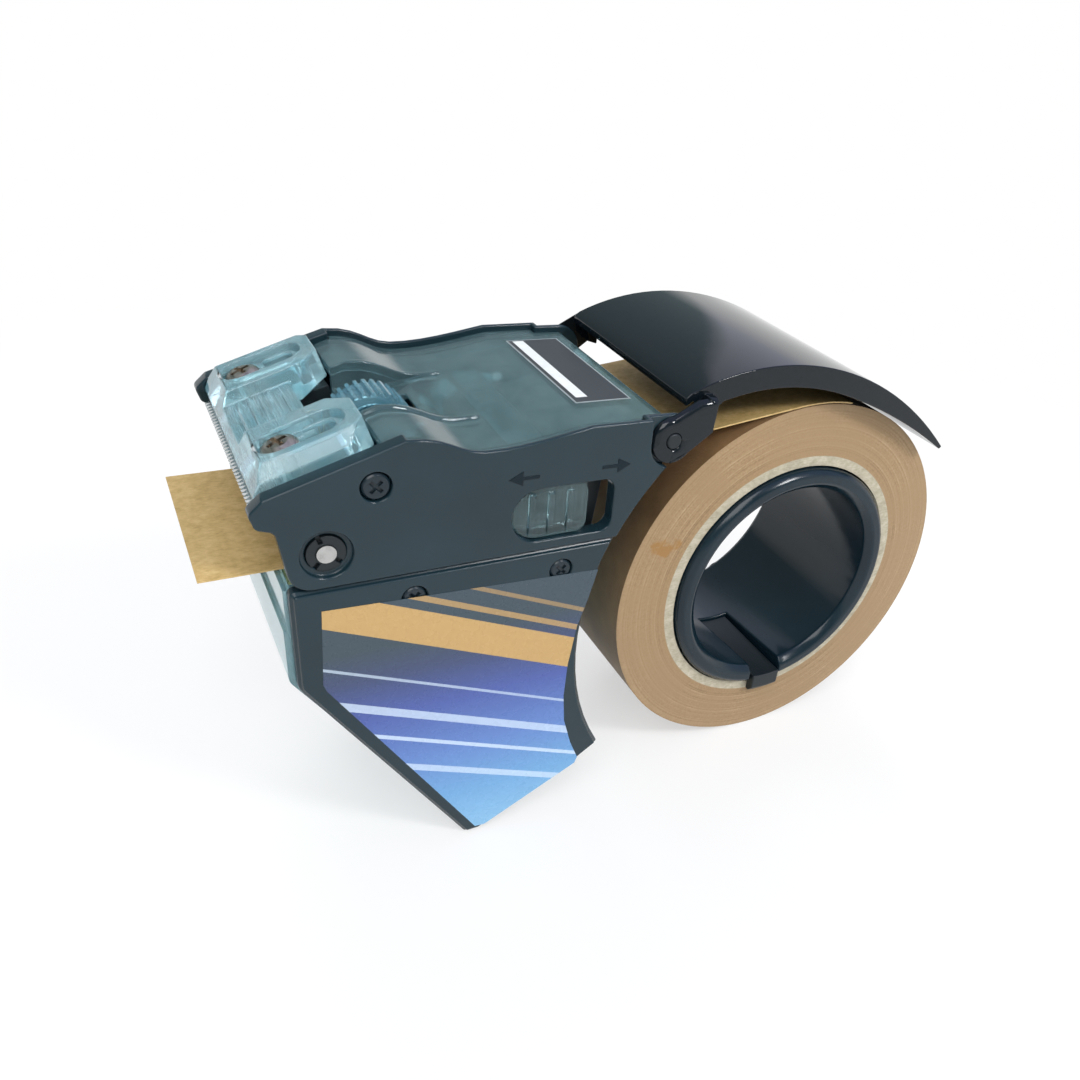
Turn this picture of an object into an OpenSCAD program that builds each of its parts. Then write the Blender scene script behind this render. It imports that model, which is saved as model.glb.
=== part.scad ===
// Hand dispenser for gummed paper tape: a roll on an open hub behind a body with
// two side plates, a feed wheel, a tilted cutter and a wedge-shaped water tank.
// X runs from the tape's tongue back to the roll, Y across the tape, Z up.
// Outlines are drawn in X and Z about the roll's axis, then set down on the floor.

/* [Tape roll] */
// Width of the tape
tape_w = 50; // [44:0.5:56]
// Thickness of the free tape
tape_t = 0.4; // [0.3:0.05:0.5]
// Outside diameter of the paper on the roll
roll_d = 113.3; // [106:0.1:120]
// Inside diameter of the roll's core
core_d = 76.2; // [72:0.1:79]
// Wall of the core
core_wall = 3; // [2:0.1:4]
// Tape that sticks out in front of the body
tongue_len = 16.4; // [8:0.1:24]

/* [Body] */
// Thickness of the side plates
side_t = 4; // [3.8:0.1:5]
// Room between the tape's edge and a side plate
side_room = 6.15; // [5.9:0.05:8]
// Length of the body at the parting line, behind the concave rear edge
body_len = 70.4; // [68:0.1:76]
// Gap between the roll and the body's concave rear edge
roll_gap = 17; // [15:0.1:20]
// Height of the line between the tank and the side plates above the floor
ridge_h = 89.1; // [86:0.1:93]
// Height of the side plates above that line, at their highest point
crown_h = 32.3; // [31.6:0.1:34]
// Wall of the clear top cover
cover_t = 2; // [1.6:0.1:2.4]
// How far the top cover lies below the plates' top edges
cover_drop = 1.5; // [1:0.1:2]
// Skin of the side plates beside the top cover, which lies over the rest of their top edges
rim_wall = 1.3; // [1:0.1:1.8]

/* [Hub] */
// Radial play between the hub and the roll's core
hub_play = 0.5; // [0.4:0.05:0.8]
// Wall of the hub tube at its near rim
hub_wall = 6.4; // [5:0.1:8]
// Wall of the hub tube at its far end, where the bore is wider
hub_wall_far = 2.1; // [1.8:0.1:4]
// Height of the hub's rear flange above the tube
flange_h = 8.4; // [7.6:0.1:9]
// Width of the roll catch
catch_w = 10; // [8:0.5:12]
// How far the catch's nose stands out past the core's bore
catch_nose = 2.9; // [2:0.1:3.2]

/* [Fender] */
// Wall of the fender
fender_t = 2.2; // [1.8:0.1:2.6]
// Depth of the fender's side skirts
skirt_h = 6; // [4:0.1:8]
// Rise of the fender above the roll
fender_rise = 14; // [11:0.1:18]
// Radius of the fender's ears round their pivot
ear_r = 5.8; // [5:0.1:6]
// Diameter of the fender's pivot pins
pivot_d = 4; // [3:0.1:4.6]

/* [Cutter] */
// Tilt of the cutter
cut_tilt = 18.5; // [17:0.1:20]
// Length of the cutter's side lobes along the tilt
lobe_len = 27; // [25:0.1:28]
// Height of the side lobes
lobe_h = 7.5; // [6.6:0.1:8]
// Distance between the two cutter screws
screw_pitch = 40.6; // [38:0.1:43]
// Diameter of the cutter screws' heads
screw_d = 8.4; // [7.4:0.1:9]
// Pitch of the blade's teeth
tooth_pitch = 1.6; // [1.2:0.1:2.4]
// Thickness of the blade
blade_t = 0.6; // [0.5:0.05:0.8]

/* [Rollers] */
// Diameter of the thumb wheel over its ribs
wheel_d = 21; // [20:0.1:21.6]
// Width of the thumb wheel
wheel_w = 8.8; // [7:0.1:10]
// Number of ribs on the thumb wheel
wheel_ribs = 32; // [24:1:40]
// Diameter of the thumb wheel's shaft
shaft_d = 4; // [3:0.1:4.6]
// Diameter of the pinch roller
pinch_d = 8; // [7:0.1:8.6]
// Diameter of the front roller
front_d = 14.4; // [13.4:0.1:15]
// Diameter of the front roller's axle
front_axle_d = 4.2; // [3.6:0.1:4.8]
// Diameter of the wetting roller's foam
wet_d = 13; // [11:0.1:14]
// Diameter of the thin rods that tie the plates
rod_d = 3; // [2.4:0.1:3.4]

/* [Tank] */
// Wall of the water tank
tank_wall = 2; // [1.6:0.1:2.6]
// Thickness of the tank's lid
lid_t = 2; // [1.6:0.1:2.6]
// Height of the tank's front face
tank_front_h = 26; // [23:0.1:30]
// Flat that the tank stands on, front to back
foot_len = 4; // [3:0.5:8]

/* [Lock] */
// Length of the lock's window
window_len = 26; // [25:0.1:27]
// Height of the lock's window
window_h = 13.8; // [12:0.1:15]
// Travel of the lock's slider
lock_travel = 6; // [4:0.1:6.5]

/* [Fits] */
// Gap between pieces that don't touch
gap = 0.3; // [0.25:0.05:0.4]
// Radial play of a pin or shaft in its bore
run = 0.05; // [0.03:0.01:0.08]

/* [Hidden] */
$fn = 64;

// Tape roll
roll_r = roll_d / 2;
core_r = core_d / 2;
core_out_r = core_r + core_wall;
tape_y = tape_w / 2;

// Body: inner and outer faces of the plates, rear arc, front edge and parting line
in_y = tape_y + side_room;
out_y = in_y + side_t;
rear_r = roll_r + roll_gap;
front_x = -rear_r - body_len;
ridge_z = ridge_h - roll_r;
plate_z = ridge_z + gap;
crown = [front_x + 25.8, ridge_z + crown_h];
dip = [front_x + 43, ridge_z + crown_h - 4.6];
kink = [-rear_r - 1.3, ridge_z + crown_h - 1.6];
pivot = [-rear_r + 21, ridge_z + 24.1];
shoulder = [pivot[0] - 7.2, pivot[1] + 6];
recess_t = side_t - 1.6;
disc_r = ear_r + 0.4;

// Rollers
wheel_c = [front_x + 27.7, ridge_z + 19.8];
wheel_r = wheel_d / 2;
front_c = [front_x + 8.4, ridge_z + 8.4];
front_r = front_d / 2;
pinch_r = pinch_d / 2;
nip = tape_t + 0.5;
pinch_c = [wheel_c[0], wheel_c[1] - wheel_r - nip - pinch_r];
wet_r = wet_d / 2;
wet_c = [front_c[0], front_c[1] - front_r - nip - wet_r];
rod_r = rod_d / 2;
lip_r = rod_r + 1.3;
rod_c = [-rear_r + 11.7, ridge_z + 14.6];

// Hub and its catch
hub_r = core_r - hub_play;
hub_bore_r = hub_r - hub_wall;
hub_proud = 2.5;
flange_r = hub_r + flange_h;
eye_r = hub_r + 1.9;
hub_screw_r = (eye_r + flange_r) / 2;
hub_y0 = -tape_y - hub_proud;
flange_y = tape_y + 0.6;
catch_t = 3;
catch_root = 4;

// Cutter: its tilted frame starts at the head's lower front edge
cut_o = [front_x - 3.5, ridge_z + 18.8];
head_y = in_y - 1.4;
lobe_y = 11;
base_len = 18;
base_h = 4.5;
bridge_h = 5;
bridge_len = 17;
screw_u = 9.3;
screw_seat = 4.8;
shank_r = 2;
side_screw = [22.9, -3.5];
side_head_r = 3.1;

// Lock
window_z = ridge_z + 2.9;
window_x = -rear_r - 20.4;
grip_len = window_len - lock_travel - 2 * gap;
arm_top = [window_x + window_len + 1.5, ridge_z + 10.7];
carriage_t = 1.5;

// Tank
tank_screw_x = [front_x + 27, front_x + 63.5];
tank_screw_z = ridge_z - 6.4;
foot_x = -rear_r - 28.4;
nose_z = -36;

// Frame of the whole dispenser: middle of its length, and the floor
tip_x = front_x - tongue_len;
mid_x = (tip_x + roll_r) / 2;

// ---- small geometry helpers ----

function unit(v) = v / norm(v);
function left(v) = [-v[1], v[0]];
function xy(p) = [p[0], p[1]];

// Points along an arc about c, from angle a to angle b
function arc(c, r, a, b, n = 6) =
    [for (i = [0:n]) c + r * [cos(a + (b - a) * i / n), sin(a + (b - a) * i / n)]];

// The arc that rounds corner q between p and s with radius r
function corner(p, q, s, r, n) =
    let (
        a = unit(p - q),
        b = unit(s - q),
        half = acos(a * b) / 2,
        c = q + unit(a + b) * r / sin(half),
        p1 = q + a * r / tan(half) - c,
        p2 = q + b * r / tan(half) - c,
        a1 = atan2(p1[1], p1[0]),
        turn = (atan2(p2[1], p2[0]) - a1 + 540) % 360 - 180
    )
    arc(c, r, a1, a1 + turn, n);

// An outline whose points [x, z, r] are rounded with radius r, or kept where r is 0
function rounded(p, n = 5) =
    let (k = len(p))
    [for (i = [0:k - 1])
        each p[i][2] > 0
            ? corner(xy(p[(i + k - 1) % k]), xy(p[i]), xy(p[(i + 1) % k]), p[i][2], n)
            : [xy(p[i])]];

// A clockwise outline of points [x, z, r], drawn in by d on every edge
function inset(p, d) =
    let (k = len(p))
    [for (i = [0:k - 1])
        let (
            e = unit(xy(p[i]) - xy(p[(i + k - 1) % k])),
            f = unit(xy(p[(i + 1) % k]) - xy(p[i])),
            q = xy(p[i]) - (left(e) + left(f)) * d / (1 + e * f)
        )
        [q[0], q[1], p[i][2] > 0 ? max(0.4, p[i][2] - d) : 0]];

// Points of a cubic curve, and the same points moved d to the right of its travel
function cubic(c, t) =
    (1 - t) ^ 3 * c[0] + 3 * t * (1 - t) ^ 2 * c[1] + 3 * t ^ 2 * (1 - t) * c[2] + t ^ 3 * c[3];
function slope(c, t) =
    unit((1 - t) ^ 2 * (c[1] - c[0]) + 2 * t * (1 - t) * (c[2] - c[1]) + t ^ 2 * (c[3] - c[2]));
function curve(c, d = 0, n = 20, from = 0) =
    [for (i = [from:n]) cubic(c, i / n) - d * left(slope(c, i / n))];

// Depth of the fender's skirts along its line: they run out towards the tail
function skirt(t) = t < 0.6 ? skirt_h : skirt_h + (fender_t * 0.5 - skirt_h) * ((t - 0.6) / 0.4) ^ 2;
function skirt_edge(c, n, from) = [for (i = [from:n]) cubic(c, i / n) - skirt(i / n) * left(slope(c, i / n))];

function reversed(p) = [for (i = [len(p) - 1:-1:0]) p[i]];

// Draws the dispenser about the roll's axis and stands it on the floor
module placed() {
    translate([-mid_x, 0, roll_r])
        children();
}

// An XZ outline made solid from y0 to y1
module slab(y0, y1) {
    translate([0, y1, 0])
        rotate([90, 0, 0])
            linear_extrude(y1 - y0)
                children();
}

// A round bar along Y about the point c of the XZ plane
module bar(c, r, y0, y1) {
    translate([c[0], y0, c[1]])
        rotate([-90, 0, 0])
            cylinder(r = r, h = y1 - y0);
}

// A profile of points [r, y] turned about the line through c along Y
module turned(c, profile) {
    translate([c[0], 0, c[1]])
        rotate([-90, 0, 0])
            rotate_extrude($fn = 96)
                polygon(profile);
}

// Both sides: what is drawn for the near side, and its mirror image
module both_sides() {
    children();
    mirror([0, 1, 0])
        children();
}

// The cutter's tilted frame: X along the tilt, Z square to it
module tilted() {
    translate([cut_o[0], 0, cut_o[1]])
        rotate([0, -cut_tilt, 0])
            children();
}

// ---- outlines ----

// Point of the tilted frame, in the plates' own plane
function on_tilt(p) =
    cut_o + [p[0] * cos(cut_tilt) - p[1] * sin(cut_tilt), p[0] * sin(cut_tilt) + p[1] * cos(cut_tilt)];

// Top edge of the plates from the crown to the shoulder before the fender's ear
function top_edge(down = 0) =
    [for (p = curve([crown, crown + [9, 0.2], dip - [6, -0.4], dip], 0, 6)) p - [0, down]];
function top_rear(down = 0) =
    [for (p = curve([dip, dip + [8, -0.5], kink - [8, 1.4], kink], 0, 6, 1)) p - [0, down]];

rear_low = [-sqrt(rear_r ^ 2 - plate_z ^ 2), plate_z];
rear_angle = atan2(rear_low[1], rear_low[0]);
disc_angle = atan2(pivot[1] - disc_r, pivot[0] - 1.6);
plate_outline = concat(
    [[front_x + 0.8, plate_z, 5], [front_x - 1.5, ridge_z + 15.4, 2], [front_x - 5.1, ridge_z + 16.6, 1.6],
     [front_x - 6.2, ridge_z + 20.2, 1.4], [front_x - 3.2, ridge_z + 23, 1.2]],
    [for (p = concat(top_edge(), top_rear())) [p[0], p[1], 0]],
    [[shoulder[0], shoulder[1] + 0.4, 0], [pivot[0] + 0.1, pivot[1] + disc_r, 0]],
    [for (p = arc(pivot, disc_r, 80, -60, 8)) [p[0], p[1], 0]],
    [for (p = arc([0, 0], rear_r, disc_angle, rear_angle, 5)) [p[0], p[1], 0]]
);

// Outline of the tank's sides: concave behind the roll, with its foot at the bottom
tank_top_angle = atan2(ridge_z, -sqrt(rear_r ^ 2 - ridge_z ^ 2));
tank_nose_angle = 360 + atan2(nose_z, -sqrt(rear_r ^ 2 - nose_z ^ 2));
tank_outline = concat(
    [[front_x, ridge_z - tank_front_h, 5], [front_x, ridge_z, 1.5]],
    [for (p = arc([0, 0], rear_r, tank_top_angle, tank_nose_angle, 12)) [p[0], p[1], 0]],
    [[-rear_r + 3.6, nose_z - 4, 2.5], [foot_x + foot_len / 2, -roll_r, 1], [foot_x - foot_len / 2, -roll_r, 1]]
);

// The water tank's own outline: drawn in from the sides, but proud at the front
reservoir_outline = [for (p = inset(tank_outline, 1))
    [p[0] < front_x + 3 ? front_x - 1.4 : p[0], max(p[1], -roll_r) < 2 - roll_r ? -roll_r : p[1], p[2]]];

// Window of the lock: a round end to the front, small corners to the rear
module window(play = 0, len = window_len) {
    r = window_h / 2 - 0.05 - play;
    polygon(rounded([
        [window_x + play, window_z + play, r],
        [window_x + play, window_z + window_h - play, r],
        [window_x + len - play, window_z + window_h - play, 3],
        [window_x + len - play, window_z + play, 3]
    ], 8));
}

// ---- side plates and hub ----

side_screw_c = on_tilt(side_screw);

module plate_body() {
    difference() {
        slab(-out_y, -in_y)
            polygon(rounded(plate_outline));
        // rebate that the top cover's wings lie in
        slab(-out_y + rim_wall, -in_y + 1)
            wing_span(gap)
                polygon(concat(
                    [for (p = cover_top) p - [0, cover_t + gap]],
                    [[cover_x1, crown[1] + 5], [cover_x0, crown[1] + 5]]
                ));
        slab(-out_y - 1, -in_y + 1)
            window();
        bar(pivot, disc_r + gap, -out_y - 1, -out_y + recess_t);
        translate([pivot[0] - disc_r - gap, -out_y - 1, pivot[1]])
            cube([40, recess_t + 1, 20]);
        bar(pivot, pivot_d / 2 + run, -out_y, -in_y + 1);
        bar(side_screw_c, side_head_r + gap, -out_y - 1, -out_y + 1.8);
        bar(side_screw_c, 1.5 + run, -out_y, -in_y + 1);
        bar(front_c, 5.6, -out_y - 1, -out_y + 1.4);
        bar(front_c, 4.2 + run, -out_y, -in_y + 1);
        bar(wheel_c, shaft_d / 2 + run, -in_y - side_t / 2, -in_y + 1);
        bar(pinch_c, rod_r + run, -in_y - side_t / 2, -in_y + 1);
        bar(rod_c, rod_r + run, -in_y - side_t / 2, -in_y + 1);
    }
}

module side_plate_near() {
    placed()
        color("#2a3338")
            plate_body();
}

// The far plate carries the roll: its arm runs back into a ring behind the hub
arm_r = flange_r;
arm_inset = 1.5;
arm_web = side_t - 1.6;
hub_screw_angles = [60, 180, 300];

function on_ring(r, a) = [r * cos(a), r * sin(a)];

module arm_sheet(d = 0) {
    difference() {
        union() {
            polygon([
                arm_top + [d, -d], on_ring(arm_r - d - arm_inset, 112), [0, 0],
                on_ring(arm_r - d - arm_inset, 186), [rear_low[0] + 0.5 + d, plate_z + 1.6 + d]
            ]);
            circle(arm_r - d, $fn = 96);
        }
        circle(eye_r + d, $fn = 96);
    }
}

module side_plate_far() {
    placed()
        color("#2a3338")
            difference() {
                union() {
                    mirror([0, 1, 0])
                        plate_body();
                    difference() {
                        slab(in_y, out_y)
                            arm_sheet();
                        slab(in_y + arm_web, out_y + 1)
                            difference() {
                                arm_sheet(2.2);
                                for (a = hub_screw_angles)
                                    translate(on_ring(hub_screw_r, a))
                                        circle(3.8);
                            }
                    }
                }
                for (a = hub_screw_angles) {
                    bar(on_ring(hub_screw_r, a), 1.5 + run, in_y - 1, out_y + 1);
                    bar(on_ring(hub_screw_r, a), 2.9, out_y - 1.6, out_y + 1);
                }
            }
}

module roll_hub() {
    placed()
        color("#262e33")
            difference() {
                turned([0, 0], [
                    [hub_bore_r + 2.2, hub_y0], [hub_r - 1.6, hub_y0], [hub_r, hub_y0 + 1.6],
                    [hub_r, flange_y], [flange_r - 0.6, flange_y], [flange_r, flange_y + 0.6],
                    [flange_r, in_y], [hub_r - hub_wall_far, in_y], [hub_bore_r, hub_y0 + 2.2]
                ]);
                translate([-catch_w / 2 - 0.6, hub_y0 - 1, -hub_r - 2])
                    cube([catch_w + 1.2, catch_root + gap - hub_y0 + 1, hub_wall + 4]);
                for (a = hub_screw_angles)
                    bar(on_ring(hub_screw_r, a), 1.5 + run, flange_y + 0.6, in_y + 1);
            }
}

// A round screw along Y, with a cross recess, whose head ends at y and points to -Y
module screw(c, y, head_r, head_t, shank, length) {
    difference() {
        union() {
            turned([c[0], c[1]], [[0, y], [head_r - 0.5, y], [head_r, y + 0.5], [head_r, y + head_t], [0, y + head_t]]);
            bar(c, shank, y + head_t / 2, y + head_t + length);
        }
        for (a = [45, 135])
            translate([c[0], y, c[1]])
                rotate([0, a, 0])
                    cube([head_r * 1.1, 1.2, 0.8], center = true);
    }
}

module hub_screws() {
    placed()
        color("#8f8577")
            mirror([0, 1, 0])
                for (a = hub_screw_angles)
                    screw(on_ring(hub_screw_r, a), -out_y + 0.2, 2.6, 1.3, 1.5, side_t + 2.6);
}

// A springy finger in the hub's lower wall, whose nose keeps the roll on
module roll_catch() {
    nose_r = core_r + catch_nose;
    in_r = hub_r - gap - catch_t;
    placed()
        color("#1c2226")
            intersection() {
                turned([0, 0], [
                    [in_r, hub_y0 - 0.8], [nose_r - 2, hub_y0 - 0.8], [nose_r, -tape_y - 1.6],
                    [nose_r, -tape_y - gap], [hub_r - gap, -tape_y - gap], [hub_r - gap, catch_root],
                    [in_r, catch_root]
                ]);
                translate([-catch_w / 2, hub_y0 - 2, -core_r - 6])
                    cube([catch_w, 40, 14]);
            }
}

// ---- roll and tape ----

module roll_core() {
    placed()
        color("#cfc8b4")
            difference() {
                bar([0, 0], core_out_r, -tape_y, tape_y, $fn = 96);
                bar([0, 0], core_r, -tape_y - 1, tape_y + 1, $fn = 96);
            }
}

module paper_roll() {
    placed()
        color("#b58d58")
            difference() {
                bar([0, 0], roll_r, -tape_y, tape_y, $fn = 128);
                bar([0, 0], core_out_r, -tape_y - 1, tape_y + 1, $fn = 96);
            }
}

// What the tape runs round, as [x, z, r]: r is below zero where the tape lies on top
tape_off = gap / 2 + tape_t / 2;
tape_lap = 18;
roll_guide = [0, 0, -roll_r - gap - tape_t / 2];
lip_guide = [rod_c[0], rod_c[1], -lip_r - tape_off];
pinch_guide = [pinch_c[0], pinch_c[1], -pinch_r - tape_off];
// Angle of the line square to the tape between guides a and b, on the lower side
function tape_angle(a, b) =
    let (d = xy(b) - xy(a), k = (a[2] - b[2]) / norm(d))
    atan2(d[1], d[0]) + acos(k);

// Angle a, taken within half a turn of b
function near_turn(a, b) = b - 180 + ((a - b + 180) % 360 + 360) % 360;

// Whether the tape bends over the deck's lip, or spans from the roll straight to the pinch roller
lip_in = tape_angle(roll_guide, lip_guide);
lip_holds = near_turn(tape_angle(lip_guide, pinch_guide), lip_in) > lip_in;
guides = concat([roll_guide], lip_holds ? [lip_guide] : [], [
    pinch_guide,
    [front_c[0], front_c[1], front_r + tape_off],
    [tip_x, front_c[1] - front_r - tape_off - 0.2, 0]
]);

function wrap(i) =
    let (
        b = tape_angle(guides[min(i, len(guides) - 2)], guides[min(i, len(guides) - 2) + 1]),
        a = i == 0 ? b - tape_lap : near_turn(tape_angle(guides[i - 1], guides[i]), b),
        n = i == len(guides) - 1 ? 0 : 6
    )
    [for (j = [0:n]) [i, (a * (n - j) + b * j) / max(n, 1)]];

// Both faces of the tape, side -1 above and 1 below
function tape_face(side) =
    [for (i = [0:len(guides) - 1])
        each [for (w = wrap(i))
            let (a = i == len(guides) - 1 ? tape_angle(guides[i - 1], guides[i]) : w[1])
            xy(guides[i]) + (guides[i][2] + side * tape_t / 2) * [cos(a), sin(a)]]];

module tape_strip() {
    placed()
        color("#b8935c")
            slab(-tape_y, tape_y)
                polygon(concat(tape_face(-1), reversed(tape_face(1))));
}

// ---- rollers ----

module thumb_wheel() {
    step = 360 / wheel_ribs;
    rib = 0.9;
    wheel_rim = 3;
    placed()
        color("#9cc6cf", 0.7)
            difference() {
                slab(-wheel_w / 2, wheel_w / 2)
                    translate(wheel_c)
                        polygon([for (i = [0:wheel_ribs - 1])
                            each [for (k = [[-0.34, rib], [-0.2, 0], [0.2, 0], [0.34, rib]])
                                (wheel_r - k[1]) * [cos((i + k[0]) * step), sin((i + k[0]) * step)]]]);
                both_sides()
                    difference() {
                        bar(wheel_c, wheel_r - wheel_rim, -wheel_w / 2 - 1, -wheel_w / 2 + 1.6);
                        bar(wheel_c, shaft_d / 2 + 1.6, -wheel_w / 2 - 2, -wheel_w / 2 + 2);
                    }
                bar(wheel_c, shaft_d / 2 + run, -wheel_w, wheel_w);
            }
}

module wheel_shaft() {
    placed()
        color("#b9bcbc")
            bar(wheel_c, shaft_d / 2, -in_y - side_t / 2 + gap, in_y + side_t / 2 - gap);
}

module wheel_spacers() {
    placed()
        color("#2a3338")
            both_sides()
                difference() {
                    bar(wheel_c, spacer_r, -in_y + gap / 2, -wheel_w / 2 - gap);
                    bar(wheel_c, shaft_d / 2 + run, -in_y, 0);
                }
}

module roller(c, r, bore, y) {
    turned(c, [
        [bore, -y], [r - 0.5, -y], [r, -y + 0.5], [r, y - 0.5], [r - 0.5, y], [bore, y]
    ]);
}

module pinch_roller() {
    placed()
        color("#31393d")
            roller(pinch_c, pinch_r, rod_r + run, in_y - 0.6);
}

module pinch_axle() {
    placed()
        color("#b9bcbc")
            bar(pinch_c, rod_r, -in_y - side_t / 2 + gap, in_y + side_t / 2 - gap);
}

module front_roller() {
    front_end = 3;
    placed()
        color("#31393d")
            roller(front_c, front_r, front_axle_d / 2 + run, in_y - front_end);
}

module front_axle() {
    placed()
        color("#a9a9a6")
            bar(front_c, front_axle_d / 2, -out_y + 0.5, out_y - 0.5);
}

// Bushes that carry the front axle in the plates, each notched at its outer end
module axle_bushes() {
    placed()
        color("#22292d")
            both_sides()
                difference() {
                    union() {
                        bar(front_c, 4.2, -out_y + 0.9, -in_y + 0.05);
                        bar(front_c, 5.4, -in_y + 0.05, -in_y + 2.6);
                    }
                    bar(front_c, front_axle_d / 2 + run, -out_y, 0);
                    for (a = [40, 130, 250])
                        translate([front_c[0], -out_y + 1, front_c[1]])
                            rotate([0, a, 0])
                                translate([2.6, -1, -0.5])
                                    cube([3, 2, 1]);
                }
}

module wetting_roller() {
    placed()
        color("#d9cf9a")
            roller(wet_c, wet_r, rod_r + run, tape_y + 0.5);
}

module wetting_axle() {
    placed()
        color("#b9bcbc")
            bar(wet_c, rod_r, -in_y + tank_wall + 0.3, in_y - tank_wall - 0.3);
}

// ---- cutter ----

// The head's bolt slots run back along the tilt; the bridge below holds the screws
module bolt_slot(r, z0, z1) {
    for (s = [-1, 1]) {
        for (u = [screw_u, lobe_len - 7.5])
            translate([u, s * screw_pitch / 2, z0])
                cylinder(r = r, h = z1 - z0);
        translate([screw_u, s * screw_pitch / 2 - r, z0])
            cube([lobe_len - 7.5 - screw_u, 2 * r, z1 - z0]);
    }
}

// One side lobe, with its edges cut back
module lobe() {
    rotate([90, 0, 90])
        linear_extrude(lobe_len)
            polygon([[lobe_y - 3, 0], [lobe_y, lobe_h], [head_y - 3, lobe_h], [head_y, lobe_h - 3], [head_y, 0]]);
}

module cutter_head() {
    rib_pitch = 2.5;
    placed()
        color("#9fcdd6", 0.7)
            tilted()
                difference() {
                    union() {
                        difference() {
                            union() {
                                for (s = [0, 1])
                                    mirror([0, s, 0])
                                        lobe();
                                translate([0, -head_y, 0])
                                    cube([base_len, 2 * head_y, base_h]);
                            }
                            // the front face and the lobes' rear corners are cut on a slant
                            rotate([90, 0, 0])
                                linear_extrude(4 * head_y, center = true)
                                    polygon([[-1, 2], [0, 2], [4.5, lobe_h], [4.5, lobe_h + 1], [-1, lobe_h + 1]]);
                            for (s = [-1, 1])
                                translate([lobe_len, s * head_y, 0])
                                    rotate([0, 0, 45])
                                        cube([7, 7, 40], center = true);
                            for (s = [0, 1])
                                mirror([0, s, 0])
                                    translate([0, 0, -1])
                                        linear_extrude(lobe_h + 2)
                                            polygon([[base_len, lobe_y - 4], [lobe_len + 1, lobe_y - 4], [lobe_len + 1, lobe_y + 5]]);
                        }
                        for (i = [0:4])
                            translate([5 + rib_pitch * i, -lobe_y + 2.5, 0])
                                cube([1, 2 * lobe_y - 5, base_h + 0.7]);
                    }
                    difference() {
                        bolt_slot(screw_d / 2 + 0.5, screw_seat, lobe_h + 1);
                        difference() {
                            bolt_slot(shank_r + 1.4, screw_seat - 1, screw_seat + 1.4);
                            translate([0, -in_y, screw_seat - 2])
                                cube([screw_u + screw_d / 2 + 1.5, 2 * in_y, 10]);
                        }
                    }
                    bolt_slot(shank_r + 0.3, -1, lobe_h);
                }
}

module blade() {
    teeth = floor(2 * (head_y - 2) / tooth_pitch);
    half = teeth * tooth_pitch / 2;
    placed()
        color("#c9cdce")
            tilted()
                difference() {
                    translate([0, 0, -blade_t])
                        linear_extrude(blade_t)
                            polygon(concat(
                                [[13.5, -half], [13.5, half], [-0.2, half]],
                                [for (i = [0:teeth - 1])
                                    each [[-1.6, half - (i + 0.5) * tooth_pitch], [-0.2, half - (i + 1) * tooth_pitch]]]
                            ));
                    bolt_slot(shank_r + 0.3, -2, 1);
                }
}

// Cross beam between the plates that the head is bolted down on
module cutter_bridge() {
    top = -blade_t - gap / 2;
    low = top - bridge_h;
    ear_y = 12;
    placed()
        color("#1f262a")
            difference() {
                tilted()
                    difference() {
                        union() {
                            translate([1.6, -in_y, low])
                                cube([bridge_len - 1.6, 2 * in_y, bridge_h]);
                            for (s = [-1, 1])
                                translate([1.6, s > 0 ? ear_y : -in_y, low])
                                    cube([lobe_len - 2.6, in_y - ear_y, bridge_h]);
                        }
                        for (s = [-1, 1])
                            translate([screw_u, s * screw_pitch / 2, low - 1])
                                cylinder(r = shank_r + run, h = bridge_h + 2);
                    }
                both_sides()
                    bar(side_screw_c, 1.5 + run, -out_y, -in_y + 9);
            }
}

module cutter_screws() {
    placed()
        color("#9a8c7c")
            tilted()
                for (s = [-1, 1])
                    translate([screw_u, s * screw_pitch / 2, 0])
                        difference() {
                            rotate_extrude()
                                polygon([
                                    [0, -4], [shank_r, -4], [shank_r, screw_seat], [screw_d / 2, screw_seat],
                                    [screw_d / 2, screw_seat + 0.9], [screw_d / 2 - 0.6, screw_seat + 1.7],
                                    [screw_d / 2 - 1.8, screw_seat + 2.2], [0, screw_seat + 2.4]
                                ]);
                            for (a = [20, 110])
                                translate([0, 0, screw_seat + 2.4])
                                    rotate([0, 0, a])
                                        cube([screw_d * 0.55, 1.1, 2.6], center = true);
                        }
}

module side_screws() {
    placed()
        color("#3a4145")
            both_sides()
                screw(side_screw_c, -out_y + 0.2, side_head_r, 1.5, 1.5, 8);
}

// ---- cover, deck and lock ----

cover_x0 = on_tilt([lobe_len, 0])[0] + gap;
cover_x1 = pivot[0] - 0.5;
cover_y = in_y - gap;
spacer_r = shaft_d / 2 + 0.9;
pan_t = 1.6;
well_r = 90;
well_c = [wheel_c[0], wheel_c[1] + spacer_r + gap + pan_t + well_r];
well_y = 13.2;
well_len = 27;
lip_rise = 0.6;

cover_top = concat(
    [[cover_x0, crown[1] - cover_drop - 1.2]],
    top_edge(cover_drop), top_rear(cover_drop),
    [[shoulder[0], shoulder[1] + 0.4 - cover_drop], [cover_x1, pivot[1] + disc_r - cover_drop]]
);

module cover_sheet(t) {
    polygon(concat(cover_top, [for (p = reversed(cover_top)) p - [0, t]]));
}

// The stretch, from behind the crown to before the fender's ears, in which the cover spreads over the plates
module wing_span(play = 0) {
    intersection() {
        children();
        translate([crown[0] + 1 - play, 0])
            square([shoulder[0] - crown[0] - 2 + 2 * play, 200]);
    }
}

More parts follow.
